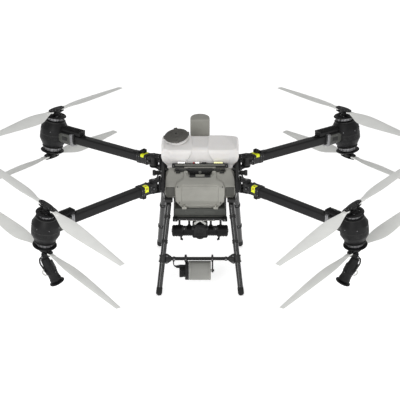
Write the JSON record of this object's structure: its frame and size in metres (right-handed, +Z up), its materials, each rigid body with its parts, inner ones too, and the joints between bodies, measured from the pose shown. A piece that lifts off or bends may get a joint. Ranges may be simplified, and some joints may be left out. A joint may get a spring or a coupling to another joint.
{
  "type": "agricultural spray drone",
  "caption": "Coaxial folding-arm crop spraying aircraft with a central liquid tank, rear battery, twin pump, tubular landing gear, belly radar and nozzles under the rear motors",
  "frame": {"origin": "on the ground, under the middle of the object", "axes": "+X right, +Y towards the nose, +Z up; the battery faces -Y"},
  "size_m": [2.619, 2.5424, 0.829],
  "materials": {
    "carbon": "satin carbon fibre",
    "plastic_black": "moulded, matt",
    "plastic_grey": "moulded, fine texture",
    "plastic_dark_grey": "moulded, fine texture",
    "tank_white": "translucent blow-moulded polyethylene",
    "blade_white": "painted composite, satin",
    "radar_grey": "moulded, fine texture",
    "hose_grey": "flexible hose",
    "rubber_black": "matt"
  },
  "bodies": {
    "root": {"arm_root_nose_left": "plastic_black", "arm_root_nose_right": "plastic_black", "arm_root_tail_left": "plastic_black", "arm_root_tail_right": "plastic_black", "belly_housing": "plastic_dark_grey", "centre_frame": "carbon", "flight_controller": "plastic_black", "landing_gear_left": "carbon", "landing_gear_right": "carbon", "nose_tower": "plastic_grey", "pump_hose": "hose_grey", "pump_manifold": "plastic_black", "radar_cable": "rubber_black", "radar_crossbar": "carbon", "radar_motor": "plastic_black"},
    "tank": {"spray_tank": "tank_white"},
    "lid": {"tank_lid": "plastic_dark_grey"},
    "battery": {"battery_pack": "plastic_grey"},
    "carry_handle": {"battery_handle": "plastic_dark_grey"},
    "radar": {"radar_drum": "radar_grey"},
    "arm_tail_left": {"arm_tube_tail_left": "carbon", "motor_pod_tail_left": "plastic_black", "sprinkler_left": "plastic_black"},
    "lock_tail_left": {"arm_lock_tail_left": "plastic_black"},
    "rotor_tail_left_upper": {"rotor_hub_tail_left_upper": "plastic_black"},
    "blade_a_tail_left_upper_body": {"blade_a_tail_left_upper": "blade_white"},
    "blade_b_tail_left_upper_body": {"blade_b_tail_left_upper": "blade_white"},
    "rotor_tail_left_lower": {"rotor_hub_tail_left_lower": "plastic_black"},
    "blade_a_tail_left_lower_body": {"blade_a_tail_left_lower": "blade_white"},
    "blade_b_tail_left_lower_body": {"blade_b_tail_left_lower": "blade_white"},
    "arm_tail_right": {"arm_tube_tail_right": "carbon", "motor_pod_tail_right": "plastic_black", "sprinkler_right": "plastic_black"},
    "lock_tail_right": {"arm_lock_tail_right": "plastic_black"},
    "rotor_tail_right_upper": {"rotor_hub_tail_right_upper": "plastic_black"},
    "blade_a_tail_right_upper_body": {"blade_a_tail_right_upper": "blade_white"},
    "blade_b_tail_right_upper_body": {"blade_b_tail_right_upper": "blade_white"},
    "rotor_tail_right_lower": {"rotor_hub_tail_right_lower": "plastic_black"},
    "blade_a_tail_right_lower_body": {"blade_a_tail_right_lower": "blade_white"},
    "blade_b_tail_right_lower_body": {"blade_b_tail_right_lower": "blade_white"},
    "arm_nose_left": {"arm_tube_nose_left": "carbon", "motor_pod_nose_left": "plastic_black"},
    "lock_nose_left": {"arm_lock_nose_left": "plastic_black"},
    "rotor_nose_left_upper": {"rotor_hub_nose_left_upper": "plastic_black"},
    "blade_a_nose_left_upper_body": {"blade_a_nose_left_upper": "blade_white"},
    "blade_b_nose_left_upper_body": {"blade_b_nose_left_upper": "blade_white"},
    "rotor_nose_left_lower": {"rotor_hub_nose_left_lower": "plastic_black"},
    "blade_a_nose_left_lower_body": {"blade_a_nose_left_lower": "blade_white"},
    "blade_b_nose_left_lower_body": {"blade_b_nose_left_lower": "blade_white"},
    "arm_nose_right": {"arm_tube_nose_right": "carbon", "motor_pod_nose_right": "plastic_black"},
    "lock_nose_right": {"arm_lock_nose_right": "plastic_black"},
    "rotor_nose_right_upper": {"rotor_hub_nose_right_upper": "plastic_black"},
    "blade_a_nose_right_upper_body": {"blade_a_nose_right_upper": "blade_white"},
    "blade_b_nose_right_upper_body": {"blade_b_nose_right_upper": "blade_white"},
    "rotor_nose_right_lower": {"rotor_hub_nose_right_lower": "plastic_black"},
    "blade_a_nose_right_lower_body": {"blade_a_nose_right_lower": "blade_white"},
    "blade_b_nose_right_lower_body": {"blade_b_nose_right_lower": "blade_white"},
    "atomiser_left": {"spray_disc_left": "plastic_black"},
    "atomiser_right": {"spray_disc_right": "plastic_black"}
  },
  "joints": [
    {"name": "battery_lift", "type": "slide", "parent": "root", "child": "battery", "axis": [0, 0, 1], "range_m": [0, 0.28]},
    {"name": "handle_swing", "type": "hinge", "parent": "battery", "child": "carry_handle", "pos_m": [0, -0.03, 0.652], "axis": [-1, 0, 0], "range_deg": [0, 150]},
    {"name": "tank_lift", "type": "slide", "parent": "root", "child": "tank", "axis": [0, 0, 1], "range_m": [0, 0.35]},
    {"name": "lid_lift", "type": "slide", "parent": "tank", "child": "lid", "axis": [-0.1392, -0.172, 0.9752], "range_m": [0, 0.1]},
    {"name": "radar_spin", "type": "hinge", "parent": "root", "child": "radar", "pos_m": [0, -0.25888, 0.1235], "axis": [1, 0, 0], "continuous": true},
    {"name": "fold_arm_tail_left", "type": "hinge", "parent": "root", "child": "arm_tail_left", "pos_m": [-0.265, -0.19, 0.617], "axis": [0, 0, 1], "range_deg": [0, 49.4]},
    {"name": "lift_lock_tail_left", "type": "hinge", "parent": "arm_tail_left", "child": "lock_tail_left", "pos_m": [-0.34255, -0.25647, 0.57514], "axis": [-0.6508, 0.7593, 0], "range_deg": [0, 70]},
    {"name": "spin_rotor_tail_left_upper", "type": "hinge", "parent": "arm_tail_left", "child": "rotor_tail_left_upper", "pos_m": [-0.84942, -0.71976, 0.71819], "axis": [0.0756, -0.1411, 0.9871], "continuous": true},
    {"name": "fold_blade_a_tail_left_upper", "type": "hinge", "parent": "rotor_tail_left_upper", "child": "blade_a_tail_left_upper_body", "pos_m": [-0.81704, -0.75962, 0.71002], "axis": [0.0756, -0.1411, 0.9871], "range_deg": [0, 84]},
    {"name": "fold_blade_b_tail_left_upper", "type": "hinge", "parent": "rotor_tail_left_upper", "child": "blade_b_tail_left_upper_body", "pos_m": [-0.88179, -0.6799, 0.72637], "axis": [-0.0756, 0.1411, -0.9871], "range_deg": [0, 84]},
    {"name": "spin_rotor_tail_left_lower", "type": "hinge", "parent": "arm_tail_left", "child": "rotor_tail_left_lower", "pos_m": [-0.87058, -0.68024, 0.44181], "axis": [0.0756, -0.1411, 0.9871], "continuous": true},
    {"name": "fold_blade_a_tail_left_lower", "type": "hinge", "parent": "rotor_tail_left_lower", "child": "blade_a_tail_left_lower_body", "pos_m": [-0.8382, -0.7201, 0.43363], "axis": [0.0756, -0.1411, 0.9871], "range_deg": [0, 84]},
    {"name": "fold_blade_b_tail_left_lower", "type": "hinge", "parent": "rotor_tail_left_lower", "child": "blade_b_tail_left_lower_body", "pos_m": [-0.90296, -0.64038, 0.44998], "axis": [-0.0756, 0.1411, -0.9871], "range_deg": [0, 84]},
    {"name": "fold_arm_tail_right", "type": "hinge", "parent": "root", "child": "arm_tail_right", "pos_m": [0.265, -0.19, 0.617], "axis": [0, 0, -1], "range_deg": [0, 49.4]},
    {"name": "lift_lock_tail_right", "type": "hinge", "parent": "arm_tail_right", "child": "lock_tail_right", "pos_m": [0.34255, -0.25647, 0.57514], "axis": [-0.6508, -0.7593, 0], "range_deg": [0, 70]},
    {"name": "spin_rotor_tail_right_upper", "type": "hinge", "parent": "arm_tail_right", "child": "rotor_tail_right_upper", "pos_m": [0.84942, -0.71976, 0.71819], "axis": [-0.0756, -0.1411, 0.9871], "continuous": true},
    {"name": "fold_blade_a_tail_right_upper", "type": "hinge", "parent": "rotor_tail_right_upper", "child": "blade_a_tail_right_upper_body", "pos_m": [0.81704, -0.75962, 0.71002], "axis": [0.0756, 0.1411, -0.9871], "range_deg": [0, 84]},
    {"name": "fold_blade_b_tail_right_upper", "type": "hinge", "parent": "rotor_tail_right_upper", "child": "blade_b_tail_right_upper_body", "pos_m": [0.88179, -0.6799, 0.72637], "axis": [-0.0756, -0.1411, 0.9871], "range_deg": [0, 84]},
    {"name": "spin_rotor_tail_right_lower", "type": "hinge", "parent": "arm_tail_right", "child": "rotor_tail_right_lower", "pos_m": [0.87058, -0.68024, 0.44181], "axis": [-0.0756, -0.1411, 0.9871], "continuous": true},
    {"name": "fold_blade_a_tail_right_lower", "type": "hinge", "parent": "rotor_tail_right_lower", "child": "blade_a_tail_right_lower_body", "pos_m": [0.8382, -0.7201, 0.43363], "axis": [0.0756, 0.1411, -0.9871], "range_deg": [0, 84]},
    {"name": "fold_blade_b_tail_right_lower", "type": "hinge", "parent": "rotor_tail_right_lower", "child": "blade_b_tail_right_lower_body", "pos_m": [0.90296, -0.64038, 0.44998], "axis": [-0.0756, -0.1411, 0.9871], "range_deg": [0, 84]},
    {"name": "fold_arm_nose_left", "type": "hinge", "parent": "root", "child": "arm_nose_left", "pos_m": [-0.265, 0.19, 0.617], "axis": [0, 0, -1], "range_deg": [0, 49.4]},
    {"name": "lift_lock_nose_left", "type": "hinge", "parent": "arm_nose_left", "child": "lock_nose_left", "pos_m": [-0.3452, 0.25874, 0.64905], "axis": [-0.6508, -0.7593, 0], "range_deg": [0, 70]},
    {"name": "spin_rotor_nose_left_upper", "type": "hinge", "parent": "arm_nose_left", "child": "rotor_nose_left_upper", "pos_m": [-0.84509, 0.70807, 0.71897], "axis": [0.1065, 0.0577, 0.9926], "continuous": true},
    {"name": "fold_blade_a_nose_left_upper", "type": "hinge", "parent": "rotor_nose_left_upper", "child": "blade_a_nose_left_upper_body", "pos_m": [-0.81726, 0.75165, 0.71345], "axis": [-0.1065, -0.0577, -0.9926], "range_deg": [0, 84]},
    {"name": "fold_blade_b_nose_left_upper", "type": "hinge", "parent": "rotor_nose_left_upper", "child": "blade_b_nose_left_upper_body", "pos_m": [-0.87292, 0.66449, 0.72449], "axis": [0.1065, 0.0577, 0.9926], "range_deg": [0, 84]},
    {"name": "spin_rotor_nose_left_lower", "type": "hinge", "parent": "arm_nose_left", "child": "rotor_nose_left_lower", "pos_m": [-0.87491, 0.69193, 0.44103], "axis": [0.1065, 0.0577, 0.9926], "continuous": true},
    {"name": "fold_blade_a_nose_left_lower", "type": "hinge", "parent": "rotor_nose_left_lower", "child": "blade_a_nose_left_lower_body", "pos_m": [-0.84708, 0.7355, 0.43551], "axis": [-0.1065, -0.0577, -0.9926], "range_deg": [0, 84]},
    {"name": "fold_blade_b_nose_left_lower", "type": "hinge", "parent": "rotor_nose_left_lower", "child": "blade_b_nose_left_lower_body", "pos_m": [-0.90274, 0.64835, 0.44655], "axis": [0.1065, 0.0577, 0.9926], "range_deg": [0, 84]},
    {"name": "fold_arm_nose_right", "type": "hinge", "parent": "root", "child": "arm_nose_right", "pos_m": [0.265, 0.19, 0.617], "axis": [0, 0, 1], "range_deg": [0, 49.4]},
    {"name": "lift_lock_nose_right", "type": "hinge", "parent": "arm_nose_right", "child": "lock_nose_right", "pos_m": [0.3452, 0.25874, 0.64905], "axis": [-0.6508, 0.7593, 0], "range_deg": [0, 70]},
    {"name": "spin_rotor_nose_right_upper", "type": "hinge", "parent": "arm_nose_right", "child": "rotor_nose_right_upper", "pos_m": [0.84509, 0.70807, 0.71897], "axis": [-0.1065, 0.0577, 0.9926], "continuous": true},
    {"name": "fold_blade_a_nose_right_upper", "type": "hinge", "parent": "rotor_nose_right_upper", "child": "blade_a_nose_right_upper_body", "pos_m": [0.81726, 0.75165, 0.71345], "axis": [-0.1065, 0.0577, 0.9926], "range_deg": [0, 84]},
    {"name": "fold_blade_b_nose_right_upper", "type": "hinge", "parent": "rotor_nose_right_upper", "child": "blade_b_nose_right_upper_body", "pos_m": [0.87292, 0.66449, 0.72449], "axis": [0.1065, -0.0577, -0.9926], "range_deg": [0, 84]},
    {"name": "spin_rotor_nose_right_lower", "type": "hinge", "parent": "arm_nose_right", "child": "rotor_nose_right_lower", "pos_m": [0.87491, 0.69193, 0.44103], "axis": [-0.1065, 0.0577, 0.9926], "continuous": true},
    {"name": "fold_blade_a_nose_right_lower", "type": "hinge", "parent": "rotor_nose_right_lower", "child": "blade_a_nose_right_lower_body", "pos_m": [0.84708, 0.7355, 0.43551], "axis": [-0.1065, 0.0577, 0.9926], "range_deg": [0, 84]},
    {"name": "fold_blade_b_nose_right_lower", "type": "hinge", "parent": "rotor_nose_right_lower", "child": "blade_b_nose_right_lower_body", "pos_m": [0.90274, 0.64835, 0.44655], "axis": [0.1065, -0.0577, -0.9926], "range_deg": [0, 84]},
    {"name": "spin_atomiser_left", "type": "hinge", "parent": "arm_tail_left", "child": "atomiser_left", "pos_m": [-0.80625, -0.67671, 0.25168], "axis": [0.434, 0, -0.9009], "continuous": true},
    {"name": "spin_atomiser_right", "type": "hinge", "parent": "arm_tail_right", "child": "atomiser_right", "pos_m": [0.80625, -0.67671, 0.25168], "axis": [-0.434, 0, -0.9009], "continuous": true}
  ],
  "couplings": [
    {"joint": "fold_blade_b_tail_left_upper", "follows": "fold_blade_a_tail_left_upper", "ratio": 1},
    {"joint": "fold_blade_b_tail_left_lower", "follows": "fold_blade_a_tail_left_lower", "ratio": 1},
    {"joint": "fold_blade_b_tail_right_upper", "follows": "fold_blade_a_tail_right_upper", "ratio": 1},
    {"joint": "fold_blade_b_tail_right_lower", "follows": "fold_blade_a_tail_right_lower", "ratio": 1},
    {"joint": "fold_blade_b_nose_left_upper", "follows": "fold_blade_a_nose_left_upper", "ratio": 1},
    {"joint": "fold_blade_b_nose_left_lower", "follows": "fold_blade_a_nose_left_lower", "ratio": 1},
    {"joint": "fold_blade_b_nose_right_upper", "follows": "fold_blade_a_nose_right_upper", "ratio": 1},
    {"joint": "fold_blade_b_nose_right_lower", "follows": "fold_blade_a_nose_right_lower", "ratio": 1}
  ]
}
